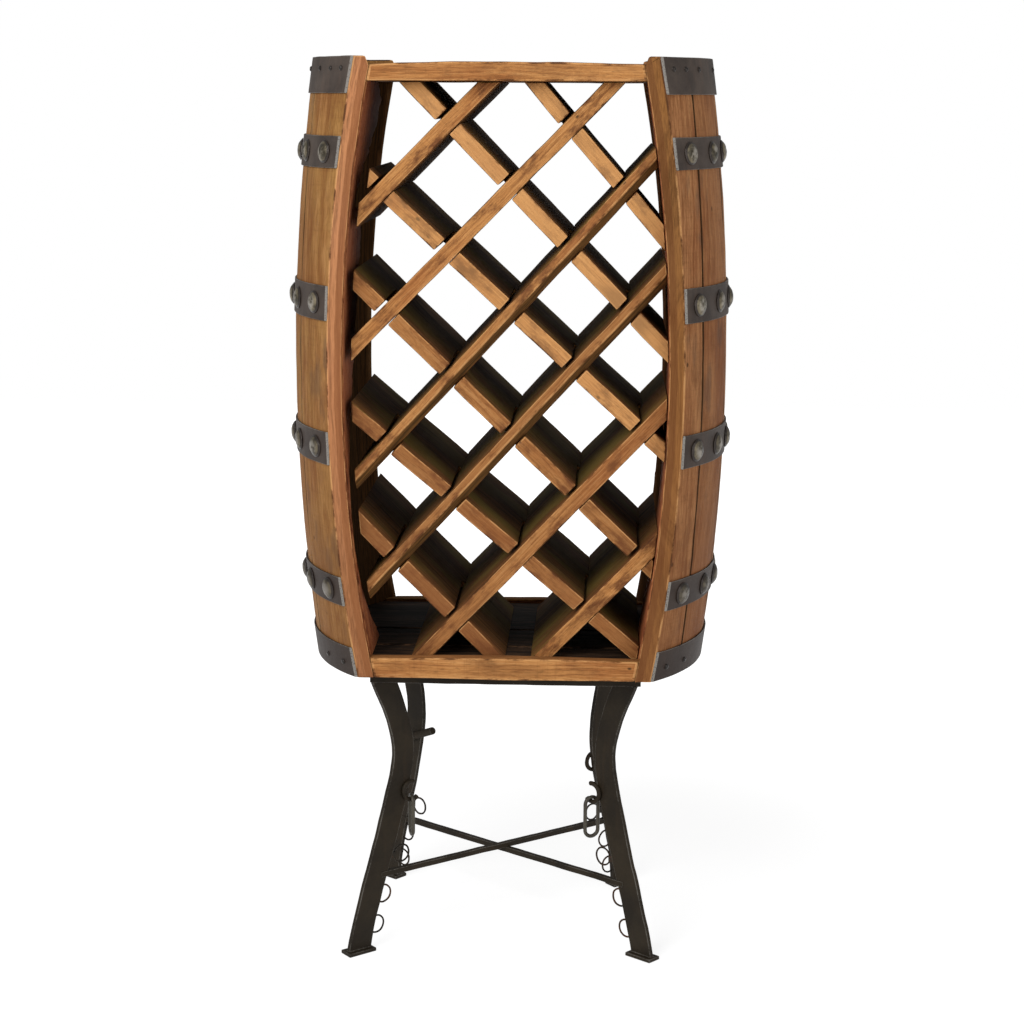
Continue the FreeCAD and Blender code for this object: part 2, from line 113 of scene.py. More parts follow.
# Noise in the oak: scale along the grain and across it, detail and roughness
OAK_NOISE = {
    "warp": (3.0, 9.0, 2.0, 0.5),
    "fibres": (30.0, 560.0, 3.0, 0.65),
    "pores": (90.0, 1300.0, 1.0, 0.5),
    "smudge": (17.0, 40.0, 5.0, 0.68),
    "cloud": (4.2, 11.0, 3.0, 0.6),
    "saw": (330.0, 14.0, 2.0, 0.5),
    "tannin": (7.0, 22.0, 4.0, 0.6),
}
# Growth rings: place of the pith beside a board, how far they wander, scales and roughness
PITH_ACROSS, PITH_DEPTH, RING_WANDER = 0.05, 0.07, 0.03
RING_ALONG, RING_SCALE, RING_ROUGHNESS = 1.8, 210.0, 0.7
# Scales of the scattered worm holes
HOLES_ALONG, HOLES_ACROSS = 15.0, 24.0
# Noise in the iron and in the domed nails: scale, detail and roughness
IRON_NOISE = {"cloud": (16.0, 5.0, 0.6), "grit": (420.0, 3.0, 0.6), "patch": (7.0, 3.0, 0.5)}
DOME_NOISE = {"cloud": (70.0, 4.0, 0.6), "grit": (700.0, 2.0, 0.5)}
# Dents per metre of the iron and the domes, and the scales of the streaks that run down
IRON_DENTS, DOME_FACETS, STREAK_ACROSS, STREAK_DOWN = 70.0, 190.0, 60.0, 7.0
# Depth of the relief of every finish in metres, and the gloss of oiled wood
RELIEF, WOOD_GLOSS = 0.0009, 0.12


# Sizes and colours

def number(name, default, description, unit="NONE", subtype="NONE"):
    """A setting that holds one number"""
    return FloatProperty(name=name, description=description, default=default, unit=unit,
                         subtype=subtype, precision=4)


def length(name, default, description):
    """A setting in metres"""
    return number(name, default, description, "LENGTH", "DISTANCE")


def angle(name, default, description):
    """A setting in degrees"""
    return number(name, math.radians(default), description, "ROTATION", "ANGLE")


def tint(name, default, description):
    """A setting that holds a colour"""
    return FloatVectorProperty(name=name, description=description, default=default,
                               size=3, min=0.0, max=1.0, subtype="COLOR")


class BarrelSizes(bpy.types.PropertyGroup):
    """The barrel that both walls are cut from"""
    foot: length("Foot", 0.46, "Height of the foot of the staves above the floor")
    height: length("Height", 0.95, "Length of the staves")
    head: length("Head radius", 0.31, "Outer radius at both ends")
    bulge: length("Bulge", 0.034, "How much larger the radius is half way up")
    cut: length("Cut plane", 0.212, "Distance of the saw cuts from the middle")
    stave: length("Stave", 0.018, "Thickness of a stave")
    left_gap: length("Left seam", 0.0006, "Gap between the staves of the left wall")
    right_gap: length("Right seam", 0.002, "Gap between the staves of the right wall")
    chime_height: length("Chime height", 0.014, "Height of the bevel inside the top of a stave")
    chime_depth: length("Chime depth", 0.006, "Depth of the bevel inside the top of a stave")


class IronSizes(bpy.types.PropertyGroup):
    """Bands and nail heads"""
    band: length("Band", 0.003, "Thickness of the bands")
    clearance: length("Clearance", 0.0002, "Gap between the staves and the bands")
    dome_radius: length("Dome radius", 0.0174, "Radius of the large nail heads")
    dome_height: length("Dome height", 0.0079, "Height of the large nail heads")
    dome_dents: length("Dome dents", 0.0004, "How deep the large nail heads are hammered")
    nail_radius: length("Nail radius", 0.0042, "Radius of the small nail heads")
    nail_height: length("Nail height", 0.0026, "Height of the small nail heads")
    nail_dents: length("Nail dents", 0.0005, "How deep the small nail heads are hammered")


class WearSizes(bpy.types.PropertyGroup):
    """How far use has rounded and warped the pieces"""
    board_arris: length("Board arris", 0.0022, "Rounding of the lattice, floor and top boards")
    rail_arris: length("Rail arris", 0.003, "Rounding of the rails")
    lining_arris: length("Lining arris", 0.0016, "Rounding of the lining boards")
    stave_arris: length("Stave arris", 0.0018, "Rounding of the staves")
    iron_arris: length("Iron arris", 0.0009, "Rounding of the bands, frame and braces")
    leg_arris: length("Leg arris", 0.00126, "Rounding of the legs")
    hook_arris: length("Hook arris", 0.0006, "Rounding of the hooks and the peg")
    board_warp: length("Board warp", 0.0011, "How uneven the lattice and the rails are")
    plank_warp: length("Plank warp", 0.0008, "How uneven the floor and top boards are")
    stave_warp: length("Stave warp", 0.0008, "How uneven the staves are")
    band_warp: length("Band warp", 0.0003, "How uneven the bands are")
    bar_warp: length("Bar warp", 0.0006, "How uneven the frame and the braces are")
    leg_warp: length("Leg warp", 0.00078, "How uneven the legs are")
    wire_warp: length("Wire warp", 0.0005, "How uneven the wire loops are")
    hook_warp: length("Hook warp", 0.0004, "How uneven the hooks and the peg are")
    link_warp: length("Link warp", 0.0002, "How uneven the hanging links are")
    board_step: length("Board step", 0.018, "Spacing of the cuts that let a board be uneven")
    stave_step: length("Stave step", 0.027, "Spacing of the cuts along a stave")
    leg_step: length("Leg step", 0.012, "Spacing of the cuts along a leg")
    bar_step: length("Bar step", 0.015, "Spacing of the cuts along a bar")


class FinishColours(bpy.types.PropertyGroup):
    """Colours of the wood and the iron"""
    honey: tint("Honey oak", (0.365, 0.16, 0.047), "Waxed front edges of the lattice")
    honey_dark: tint("Honey oak, dark", (0.15, 0.052, 0.016), "Grain lines of the lattice")
    honey_light: tint("Honey oak, light", (0.54, 0.285, 0.11), "Rubbed arrises")
    # Painted shade: the sides of the boards and the inner faces of the staves take this dark colour
    # as if out of the light; it is also the real stain of the pores, worm holes and seams
    stain_and_shade: tint("Stained oak", (0.054, 0.0275, 0.0085), "Sides of the boards inside the rack")
    tannin: tint("Tannin", (0.045, 0.037, 0.03), "Grey stains on the staves")
    ochre: tint("Ochre oak", (0.3, 0.155, 0.042), "Staves of the left wall")
    pink: tint("Pink oak", (0.33, 0.138, 0.06), "Saw cut of the left wall")
    brown: tint("Brown oak", (0.31, 0.135, 0.052), "Staves of the right wall")
    red: tint("Red oak", (0.34, 0.1, 0.038), "Lining boards")
    dark: tint("Dark oak", (0.02, 0.012, 0.007), "Floor boards")
    hoop: tint("Hoop iron", (0.055, 0.041, 0.034), "Bands")
    iron: tint("Iron", (0.018, 0.0125, 0.0068), "Stand")
    rust: tint("Rust", (0.15, 0.055, 0.02), "Rust on the iron")
    bare: tint("Bare iron", (0.42, 0.39, 0.35), "Iron that is rubbed bright")
    bronze: tint("Bronzed iron", (0.195, 0.16, 0.1), "Domed nail heads")


class StageSizes(bpy.types.PropertyGroup):
    """Floor, lamps and camera"""
    floor: length("Floor", 12.0, "Side of the floor")
    glow: number("Glow", 1.25, "How white the floor looks")
    key: number("Key", 135.0, "Power of the large lamp", "POWER")
    fill: number("Fill", 50.0, "Power of the fill lamp", "POWER")
    sky: number("Sky", 0.42, "Strength of the light from all sides")
    lens: number("Lens", 76.373, "Focal length", "CAMERA")
    sensor: number("Sensor", 36.0, "Width of the sensor", "CAMERA")
    shift: FloatVectorProperty(name="Shift", description="Shift of the lens", size=2,
                               default=(0.00724, -0.06))
    place: FloatVectorProperty(name="Place", description="Where the camera stands", size=3,
                               default=(0.14962, -3.4669, 1.35468), subtype="TRANSLATION",
                               unit="LENGTH")
    yaw: angle("Yaw", 2.635, "How far the camera turns to the left")
    pitch: angle("Pitch", 9.319, "How far the camera looks down")
    roll: angle("Roll", 0.256, "How far the camera leans")


def sizes():
    """The sizes of the barrel"""
    return bpy.context.scene.rack_barrel


def irons():
    """The sizes of the bands and the nail heads"""
    return bpy.context.scene.rack_iron


def wear():
    """How far the pieces are worn"""
    return bpy.context.scene.rack_wear


def clamped(value, low, high):
    """A value kept between two others"""
    return min(max(value, low), high)


# Finishes

class Value:
    """A socket of a material that takes part in arithmetic"""

    def __init__(self, finish, socket):
        self.finish = finish
        self.socket = socket

    def math(self, operation, *others):
        """The result of a Math node that has this value first"""
        sockets = dict(enumerate((self,) + others))
        return self.finish.node("ShaderNodeMath", {"operation": operation}, sockets)

    def __add__(self, other):
        return self.math("ADD", other)

    def __sub__(self, other):
        return self.math("SUBTRACT", other)

    def __mul__(self, other):
        return self.math("MULTIPLY", other)

    def __pow__(self, other):
        return self.math("POWER", other)

    def __rsub__(self, other):
        return self.finish.node("ShaderNodeMath", {"operation": "SUBTRACT"}, {0: other, 1: self})

    __radd__ = __add__
    __rmul__ = __mul__

    def ramp(self, low, high):
        """0 below low, 1 above high, smooth between them"""
        sockets = {0: self, 1: low, 2: high}
        settings = {"interpolation_type": "SMOOTHSTEP"}
        return self.finish.node("ShaderNodeMapRange", settings, sockets)

    def below(self, low, high):
        """1 below low, 0 above high, smooth between them"""
        return 1.0 - self.ramp(low, high)


class Finish:
    """One material and its nodes"""

    def __init__(self, name, roughness=0.5, metallic=0.0, gloss=None):
        self.material = bpy.data.materials.new(name)
        self.material.use_nodes = True
        self.tree = self.material.node_tree
        self.shader = self.tree.nodes["Principled BSDF"]
        self.set("Roughness", roughness)
        self.set("Metallic", metallic)
        if gloss is not None:
            self.set("Specular IOR Level", gloss)

    def node(self, kind, settings=None, sockets=None, output=0):
        """Adds a node and gives its output"""
        made = self.tree.nodes.new(kind)
        for key, value in (settings or {}).items():
            setattr(made, key, value)
        for key, value in (sockets or {}).items():
            self.join(made.inputs[key], value)
        return Value(self, made.outputs[output])

    def join(self, socket, value):
        """Links a value to a socket, or sets a plain number or colour on it"""
        if isinstance(value, Value):
            self.tree.links.new(value.socket, socket)
        else:
            socket.default_value = value

    def set(self, name, value):
        """Gives the shader one of its inputs"""
        self.join(self.shader.inputs[name], value)

    def mix(self, factor, a, b):
        """Colour a where the factor is 0, colour b where it is 1"""
        colours = [c if isinstance(c, Value) else tuple(c) + (1.0,) for c in (a, b)]
        settings = {"data_type": "RGBA", "blend_type": "MIX", "clamp_factor": True}
        sockets = {0: factor, 6: colours[0], 7: colours[1]}
        return self.node("ShaderNodeMix", settings, sockets, output=2)

    def coats(self, colour, *rows):
        """Lays coats over a colour: each row is where it lies, how well it covers and its colour"""
        for mask, share, coat in rows:
            colour = self.mix(mask * share, colour, coat)
        return colour

    def place(self, x=0.0, y=0.0, z=0.0):
        """A point from its parts"""
        return self.node("ShaderNodeCombineXYZ", None, {0: x, 1: y, 2: z})

    def split(self, vector):
        """The three parts of a point"""
        made = self.node("ShaderNodeSeparateXYZ", None, {0: vector})
        return [Value(self, output) for output in made.socket.node.outputs]

    def noise(self, vector, scale=1.0, detail=2.0, roughness=0.5):
        """Clouds between 0 and 1"""
        sockets = {"Vector": vector, "Scale": scale, "Detail": detail, "Roughness": roughness}
        return self.node("ShaderNodeTexNoise", None, sockets)

    def cells(self, vector, scale):
        """The distance from the nearest of many scattered points"""
        sockets = {"Vector": vector, "Scale": scale}
        return self.node("ShaderNodeTexVoronoi", {"feature": "F1"}, sockets)

    def own(self, name, output="Fac"):
        """A value that the piece's own vertices carry"""
        return self.node("ShaderNodeAttribute", {"attribute_name": name}, None, output)

    def coordinates(self, kind):
        """A point of the piece ("Object") or the direction that it faces ("Normal")"""
        return self.node("ShaderNodeTexCoord", output=kind)

    def bump(self, height, strength):
        """Gives the surface its relief"""
        sockets = {"Height": height, "Strength": strength, "Distance": RELIEF}
        self.set("Normal", self.node("ShaderNodeBump", None, sockets))


def times(colour, *shares):
    """A colour with each part multiplied, by one share for all or by one each"""
    return tuple(part * share for part, share in zip(colour, shares * (3 // len(shares))))


def wood(name, light, dark, rubbed, stain_and_shade, side_shade=0.0, inside_shade=0.0, roughness=0.6,
         grime=0.5, mottled=0.6, sawn=None):
    """Worn oak with growth rings, fibres, smudges and old stains along each board's own grain, and
    painted shade and light on the faces inside the rack
    """
    f = Finish(name, gloss=WOOD_GLOSS)
    along, across, depth = f.split(f.own("grain", "Vector"))
    facing = f.split(f.coordinates("Normal"))
    to_front = facing[1].math("ABSOLUTE")
    tone, worn = f.own("tone"), f.own("worn")

    def pattern(kind):
        lengthwise, crosswise, detail, rough = OAK_NOISE[kind]
        point = f.place(along * lengthwise, across * crosswise, depth * crosswise)
        return f.noise(point, detail=detail, roughness=rough)

    fibres, smudge, cloud, saw = (pattern(kind) for kind in ("fibres", "smudge", "cloud", "saw"))
    beside, behind = across + PITH_ACROSS, depth + PITH_DEPTH
    radius = (beside * beside + behind * behind) ** 0.5 + (pattern("warp") - 0.5) * RING_WANDER
    rings = f.noise(f.place(along * RING_ALONG, radius * RING_SCALE), detail=4.0,
                    roughness=RING_ROUGHNESS)
    speck = f.cells(f.place(along * HOLES_ALONG, across * HOLES_ACROSS, depth * HOLES_ACROSS), 1.0)
    figure = rings * 0.55 + fibres * 0.45
    line = figure.below(0.36, 0.52)
    colour = f.coats(
        light,
        (cloud.ramp(0.46, 0.64), 0.85, times(light, 0.66, 0.5, 0.42)),  # redder clouds
        (figure.ramp(0.46, 0.66), 0.5, rubbed),  # pale early wood
        (line, 0.7, dark),  # dark late wood
        (smudge.below(0.33, 0.53), mottled, times(dark, 0.8)),
        (cloud.below(0.26, 0.44), grime, times(dark, 0.55)),
        (saw.ramp(0.56, 0.7), 0.16, times(dark, 0.9)),  # saw marks
        (pattern("pores").below(0.32, 0.42), 0.4, stain_and_shade),
        (speck.below(0.035, 0.075), 0.85, times(stain_and_shade, 0.5)),  # worm holes
        (tone.ramp(0.0, 1.0), 0.55, times(dark, 1.1)),  # a darker board
        ((tone * -1.0).ramp(0.0, 1.0), 0.4, rubbed))  # a paler board
    if sawn:
        fresh = f.mix(figure.ramp(0.38, 0.6) * 0.8 + cloud.ramp(0.35, 0.6) * 0.2,
                      times(sawn, 0.42), sawn)
        broken = (f.own("inner") + smudge * 0.3).ramp(0.6, 0.68)
        fresh = f.coats(fresh, (broken, 0.75, times(sawn, 0.45, 0.36, 0.3)))
        tannin = bpy.context.scene.rack_colours.tannin
        colour = f.coats(colour, (pattern("tannin").below(0.3, 0.43), 0.4, tannin),
                         (to_front.ramp(0.8, 0.95), 0.85, fresh))
    rub = worn.ramp(0.2, 1.0) * smudge.ramp(0.4, 0.6)
    colour = f.coats(
        colour,
        # painted shade: each lattice board by its own share, and the staves towards their foot,
        # there partly grime
        (f.own("shade"), 0.6, dark),
        (rub, 0.55, rubbed),
        (worn.ramp(0.2, 1.0) * smudge.below(0.36, 0.52), 0.85, times(dark, 0.4)),  # darker arrises, in patches
        ((worn * -1.0).ramp(0.2, 1.0), 0.85, times(stain_and_shade, 0.5)))  # dirty seams
    grey = 0.0
    if side_shade or inside_shade:
        # Painted shade: the dark colour of the faces inside the rack, with grain in it
        painted_shade = f.mix(figure.ramp(0.36, 0.62), times(stain_and_shade, 0.7), times(stain_and_shade, 2.5, 2.1, 1.7))
        # Painted light and sheen: faces that look up are lighter olive, in patches
        top_sheen = facing[2].ramp(0.1, 0.5) * cloud.ramp(0.42, 0.62)
        painted_shade = f.coats(painted_shade, (top_sheen, 0.8, times(stain_and_shade, 2.4, 3.3, 2.1)))
    if side_shade:
        y = f.split(f.coordinates("Object"))[1]
        # Painted light: the sides of the boards are lighter brown near the front, where light
        # reaches in
        near = (y + smudge * 0.05).below(-0.172, -0.105) * to_front.below(0.3, 0.6)
        front_lit = f.mix(figure.ramp(0.4, 0.6), times(dark, 0.8), times(dark, 1.7))
        painted_shade = f.coats(painted_shade, (near, 0.7, front_lit))
        # Painted shade on every face of a board that doesn't look to the front or the rear
        face = to_front.below(0.74, 0.93)
        colour = f.coats(colour, (face, side_shade, painted_shade))
        grey = face * 0.25
    if inside_shade:
        # Painted shade on the inner faces of the staves
        inside = f.own("inside")
        colour = f.coats(colour, (inside, inside_shade, painted_shade))
        grey = inside * 0.25
    f.set("Base Color", colour)
    f.set("Roughness", (1.0 - rub) * 0.08 + line * 0.1 + (roughness - 0.06) + grey)
    holes = speck.ramp(0.03, 0.08)
    f.bump(figure * 0.7 + fibres * 0.3 + smudge * 0.9 + holes * 0.6 - saw * 0.15, 0.7)
    return f.material


def iron(name, base, rust, bare, rust_share=0.35, bright=0.8, roughness=0.52, pitted=1.0,
         ends=0.0, metal=0.5, gloss=0.35):
    """Blackened iron: hammered, pitted, rusty in patches and rubbed bright where it is worn"""
    f = Finish(name, gloss=gloss)
    point = f.coordinates("Object")
    x, y, z = f.split(point)
    cloud, grit, patch = (f.noise(point, *IRON_NOISE[kind]) for kind in ("cloud", "grit", "patch"))
    dents = f.cells(point, IRON_DENTS)
    streak = f.noise(f.place(x * STREAK_ACROSS, y * STREAK_ACROSS, z * STREAK_DOWN), detail=3.0)
    rust_edge = (0.66 - rust_share * 0.3, 0.74 - rust_share * 0.2)
    rusty = (cloud * 0.4 + grit * 0.25 + patch * 0.35).ramp(*rust_edge)
    rub = f.own("worn") * (cloud * 0.6 + grit * 0.4).ramp(0.38, 0.6)
    colour = f.coats(
        f.mix(cloud.ramp(0.34, 0.68), times(base, 0.72), times(base, 1.3, 1.32, 1.28)),
        (streak.ramp(0.52, 0.7), 0.35, times(base, 1.7, 1.5, 1.35)),
        (rusty, 0.6, f.mix(grit.ramp(0.35, 0.65), times(rust, 0.45), rust)),
        # painted shade, partly grime: darker towards the foot of the barrel
        (f.own("shade"), 1.0, times(base, 0.32, 0.2, 0.14)),
        (rub, bright, bare))
    if ends:
        saw_cut = sizes().cut
        cut = y.math("ABSOLUTE").ramp(saw_cut - 0.001, saw_cut - 0.0004)
        colour = f.coats(colour, (cut * grit.ramp(0.3, 0.5), ends, bare))
    f.set("Base Color", colour)
    f.set("Metallic", metal - rusty * metal * 0.8)
    f.set("Roughness", rusty * 0.25 + grit * 0.14 + (roughness - 0.07) - rub * 0.12)
    f.bump(dents * 0.5 + grit * 0.35 + cloud * 0.6 + rusty * 0.3, 0.5 * pitted)
    return f.material


def dome_iron(name, bronze, base, bare):
    """Hammered nail heads: a dark rim, a bronzed crown and a rubbed centre"""
    f = Finish(name, metallic=0.6)
    point = f.coordinates("Object")
    crown = f.own("crown")
    cloud, grit = (f.noise(point, *DOME_NOISE[kind]) for kind in ("cloud", "grit"))
    facets = f.cells(point, DOME_FACETS)
    tone = f.mix(cloud.ramp(0.36, 0.64), times(bronze, 0.2), bronze)
    colour = f.coats(
        f.mix(crown.ramp(0.25, 0.55), times(base, 0.8), tone),
        (crown.ramp(0.6, 0.97) * cloud.ramp(0.42, 0.6), 0.7, bare),  # centre
        (crown.ramp(0.2, 0.28) * crown.below(0.36, 0.5), 0.8, times(base, 0.3)),  # ring
        # painted shade, partly grime: darker towards the foot of the barrel
        (f.own("shade"), 0.9, times(base, 0.5)))
    f.set("Base Color", colour)
    f.set("Roughness", cloud * 0.25 + grit * 0.12 + 0.24)
    f.bump(facets * 0.8 + grit * 0.2, 0.7)
    return f.material


def finish_makers():
    """How the finish of each kind of piece is made"""
    c = bpy.context.scene.rack_colours
    oak = (c.honey_dark, c.honey_light, c.stain_and_shade)
    return {
        # The lattice and the rails take painted shade on their sides, the staves on their inner
        # faces
        "lattice": lambda: wood(
            "worn_oak_lattice", times(c.honey, 1.1), *oak, side_shade=0.97, grime=0.8,
            mottled=1.0),
        "rails": lambda: wood(
            "worn_oak_rails", times(c.honey, 1.06), *oak, side_shade=0.6, mottled=0.4),
        "staves_left": lambda: wood(
            "barrel_oak_ochre", c.ochre, *oak, inside_shade=0.95, roughness=0.64, grime=0.4,
            mottled=0.3, sawn=times(c.pink, 1.38)),
        "staves_right": lambda: wood(
            "barrel_oak_brown", c.brown, *oak, inside_shade=0.95, roughness=0.64, grime=0.5,
            mottled=0.45, sawn=times(c.honey, 0.56, 0.53, 0.42)),
        "lining": lambda: wood(
            "split_oak_lining", c.red, times(c.red, 0.3), times(c.honey_light, 0.9, 0.75, 0.7),
            times(c.red, 0.12), roughness=0.7, grime=0.3, mottled=0.35),
        "shelf_boards": lambda: wood(
            "dark_oak_boards", c.dark, times(c.dark, 0.4), times(c.dark, 8.0, 7.0, 6.0),
            times(c.dark, 0.3), roughness=0.78),
        "top_boards": lambda: wood(
            "brown_oak_boards", c.brown, c.honey_dark, c.ochre, c.stain_and_shade, roughness=0.7, grime=0.7),
        "bands": lambda: iron(
            "hoop_iron", c.hoop, c.rust, times(c.bare, 0.6), rust_share=0.12, bright=0.4,
            roughness=0.58, pitted=0.8, ends=0.7, metal=0.12, gloss=0.22),
        "nails": lambda: iron(
            "dark_nail_iron", times(c.hoop, 0.35), c.rust, c.bare, rust_share=0.1, bright=0.9,
            roughness=0.4, metal=0.3),
        "stand": lambda: iron(
            "forged_iron", c.iron, c.rust, times(c.bare, 0.4), rust_share=0.12, bright=0.45,
            roughness=0.62, pitted=0.7, metal=0.1, gloss=0.18),
        "wire": lambda: iron(
            "rusty_wire", c.iron, c.rust, c.bare, rust_share=0.6, bright=0.3, pitted=0.5),
        "links": lambda: iron(
            "grey_link_steel", times(c.bare, 0.13, 0.122, 0.105), c.rust, c.bare, rust_share=0.2,
            bright=0.3, roughness=0.5, pitted=0.5, metal=0.4),
        "domes": lambda: dome_iron("bronzed_nail_iron", c.bronze, c.hoop, c.bare),
    }


finishes = {}


def finish_of(kind):
    """The material of a kind of piece, made when it is first asked for"""
    if kind not in finishes:
        finishes[kind] = finish_makers()[kind]()
    return finishes[kind]


# Making pieces

def everything(bm):
    """All vertices, edges and faces of a bmesh"""
    return bm.verts[:] + bm.edges[:] + bm.faces[:]


def welded(node):
    """A closed copy of a frame node"""
    bm = bmesh.new()
    bm.from_mesh(cad_nodes[node].data)
    bmesh.ops.remove_doubles(bm, verts=bm.verts, dist=WELD)
    return bm


def copy_of(node):
    """A closed copy of a frame node with its flat faces whole"""
    bm = welded(node)
    bmesh.ops.dissolve_limit(bm, angle_limit=math.radians(FLAT), verts=bm.verts, edges=bm.edges)
    return bm


def round_arrises(bm, width, least=WOOD_EDGE, cut=None):
    """Rounds sharp edges and marks the new faces: worn, or a dirty seam away from the cut planes"""
    layer = bm.loops.layers.float.new("worn")
    sharp = [edge for edge in bm.edges
             if len(edge.link_faces) == 2 and edge.calc_face_angle(0.0) > math.radians(least)]
    made = bmesh.ops.bevel(bm, geom=sharp, offset=width, offset_type="OFFSET", affect="EDGES",
                           segments=2, profile=0.5, material=-1, clamp_overlap=False)
    for face in made["faces"]:
        dirty = cut is not None and abs(face.calc_center_median().y) < cut - 2.0 * width
        for loop in face.loops:
            loop[layer] = -1.0 if dirty else 1.0


def slice_along(bm, direction, step):
    """Cuts a piece across every step so that it can be made uneven"""
    places = [vert.co.dot(direction) for vert in bm.verts]
    low, high = min(places), max(places)
    count = int((high - low) / step)
    for index in range(1, count):
        place = direction * (low + (high - low) * index / count)
        bmesh.ops.bisect_plane(bm, geom=everything(bm), dist=CLEAN, plane_co=place,
                               plane_no=direction)


def make_uneven(bm, amount, wave, seed, share=None):
    """Moves each vertex a little by smooth noise, in long waves with short ones on them"""
    shift = Vector((seed, seed * 0.7, seed * 1.3))
    for vert in bm.verts:
        offset = noise.noise_vector(vert.co / wave + shift) * amount
        offset += noise.noise_vector(vert.co / wave * SHORT_SCALE + shift) * amount * SHORT_SHARE
        vert.co += offset if share is None else offset * share(vert.co)


def longest_direction(bm):
    """The direction of the longest edge that doesn't run straight to the rear"""
    runs = [edge.verts[1].co - edge.verts[0].co for edge in bm.edges]
    return max(runs, key=lambda run: run.length * (abs(run.normalized().y) < 0.9)).normalized()


def shifted_grain(along, across, through, seed):
    """A place in the grain, moved by the seed so that no two pieces are alike"""
    return along + seed * 1.7, across + seed * 0.013, through + seed * 0.009


def straight_grain(direction, seed):
    """The grain of a sawn board: along, across and through it"""
    across = direction.cross(DEPTH)
    if across.length < 0.1:
        across = direction.cross(UP)
    across.normalize()
    through = direction.cross(across)
    return lambda co: shifted_grain(co.dot(direction), co.dot(across), co.dot(through), seed)


def new_object(name, data):
    """An object in the scene"""
    made = bpy.data.objects.new(name, data)
    bpy.context.scene.collection.objects.link(made)
    return made


def carry(mesh, name, values, kind="FLOAT", field="value"):
    """Gives each vertex a value that the finish reads"""
    mesh.attributes.new(name, kind, "POINT").data.foreach_set(field, values)


def mesh_of(bm, name):
    """Turns a bmesh into a mesh"""
    mesh = bpy.data.meshes.new(name)
    bm.to_mesh(mesh)
    bm.free()
    return mesh


def add_piece(bm, name, finish, nodes, body=RACK, grain=None, tone=0.0, marks=None):
    """Turns a bmesh into a piece that rides on its body and stands for its nodes"""
    mesh = mesh_of(bm, name)
    if "custom_normal" in mesh.attributes:
        mesh.attributes.remove(mesh.attributes["custom_normal"])
    mesh.shade_smooth()
    mesh.set_sharp_from_angle(angle=math.radians(SHADED_EDGE))
    if grain:
        places = [value for vert in mesh.vertices for value in grain(vert.co)]
        carry(mesh, "grain", places, "FLOAT_VECTOR", "vector")
        carry(mesh, "tone", [tone] * len(mesh.vertices))
    for key, function in (marks or {}).items():
        carry(mesh, key, [function(vert.co) for vert in mesh.vertices])
    mesh.materials.append(finish_of(finish))
    piece = new_object(name, mesh)
    piece.modifiers.new("Even shading", "WEIGHTED_NORMAL").keep_sharp = True
    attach(piece, body)
    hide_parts(*nodes)
    return piece


def add_board(node, finish, arris, warp, direction=None, tone=0.0, shade=0.0):
    """A sawn board over its node, with rounded arrises and a warped surface"""
    bm = copy_of(node)
    run = direction or longest_direction(bm)
    seed = sum(ord(letter) * (place + 1) for place, letter in enumerate(node)) % 97 * 0.37
    round_arrises(bm, arris)
    slice_along(bm, run, wear().board_step)
    make_uneven(bm, warp, wave=0.09, seed=seed)
    add_piece(bm, "worn_" + node, finish, [node], grain=straight_grain(run, seed), tone=tone,
              marks={"shade": lambda co: shade})


def add_bar(node, arris, warp, wave, seed, least=IRON_EDGE, direction=None, step=None):
    """A forged bar over its node, with rounded arrises and an uneven surface"""
    bm = copy_of(node)
    run = direction or longest_direction(bm)
    round_arrises(bm, arris, least=least)
    if step:
        slice_along(bm, run, step)
    make_uneven(bm, warp, wave, seed)
    add_piece(bm, "forged_" + node, "stand", [node])


def bending_radius():
    """Radius of the arc that the staves are bent to"""
    b = sizes()
    return ((b.height / 2.0) ** 2 + b.bulge ** 2) / (2.0 * b.bulge)


def wall_radius(height):
    """Outer radius of the barrel at a height above the foot of the staves"""
    b = sizes()
    arc = bending_radius()
    return b.head + b.bulge - arc + math.sqrt(arc ** 2 - (height - b.height / 2.0) ** 2)


def depth_in_wall(co):
    """How far in a point lies from the outer face of the staves"""
    b = sizes()
    return wall_radius(clamped(co.z - b.foot, 0.0, b.height)) - math.hypot(co.x, co.y)


def outline_of(bm, points, closed):
    """Vertices and edges in the XZ plane from (radius, height) pairs"""
    verts = [bm.verts.new((radius, 0.0, height)) for radius, height in points]
    onward = verts[1:] + verts[:1] if closed else verts[1:]
    edges = [bm.edges.new(pair) for pair in zip(verts, onward)]
    return verts + edges


def spun_wall(points, start, end, steps):
    """An outline turned round the barrel from one angle to another, closed and cut flat"""
    b = sizes()
    bm = bmesh.new()
    outline = outline_of(bm, points, closed=True)
    turn = Matrix.Rotation(math.radians(start), 4, "Z")
    bmesh.ops.transform(bm, matrix=turn, verts=bm.verts)
    bmesh.ops.spin(bm, geom=outline, cent=(0, 0, 0), axis=UP, angle=math.radians(end - start),
                   steps=steps, use_merge=False, use_duplicate=False)
    for sign in (-1, 1):
        bmesh.ops.bisect_plane(bm, geom=everything(bm), dist=CLEAN, plane_co=(0, sign * b.cut, 0),
                               plane_no=(0, sign, 0), clear_outer=True)
    rims = [edge for edge in bm.edges if edge.is_boundary]
    bmesh.ops.holes_fill(bm, edges=rims, sides=0)
    bmesh.ops.recalc_face_normals(bm, faces=bm.faces)
    return bm


def mirror_across(bm):
    """The same shape on the left wall"""
    bmesh.ops.scale(bm, vec=(-1, 1, 1), verts=bm.verts)
    bmesh.ops.reverse_faces(bm, faces=bm.faces)


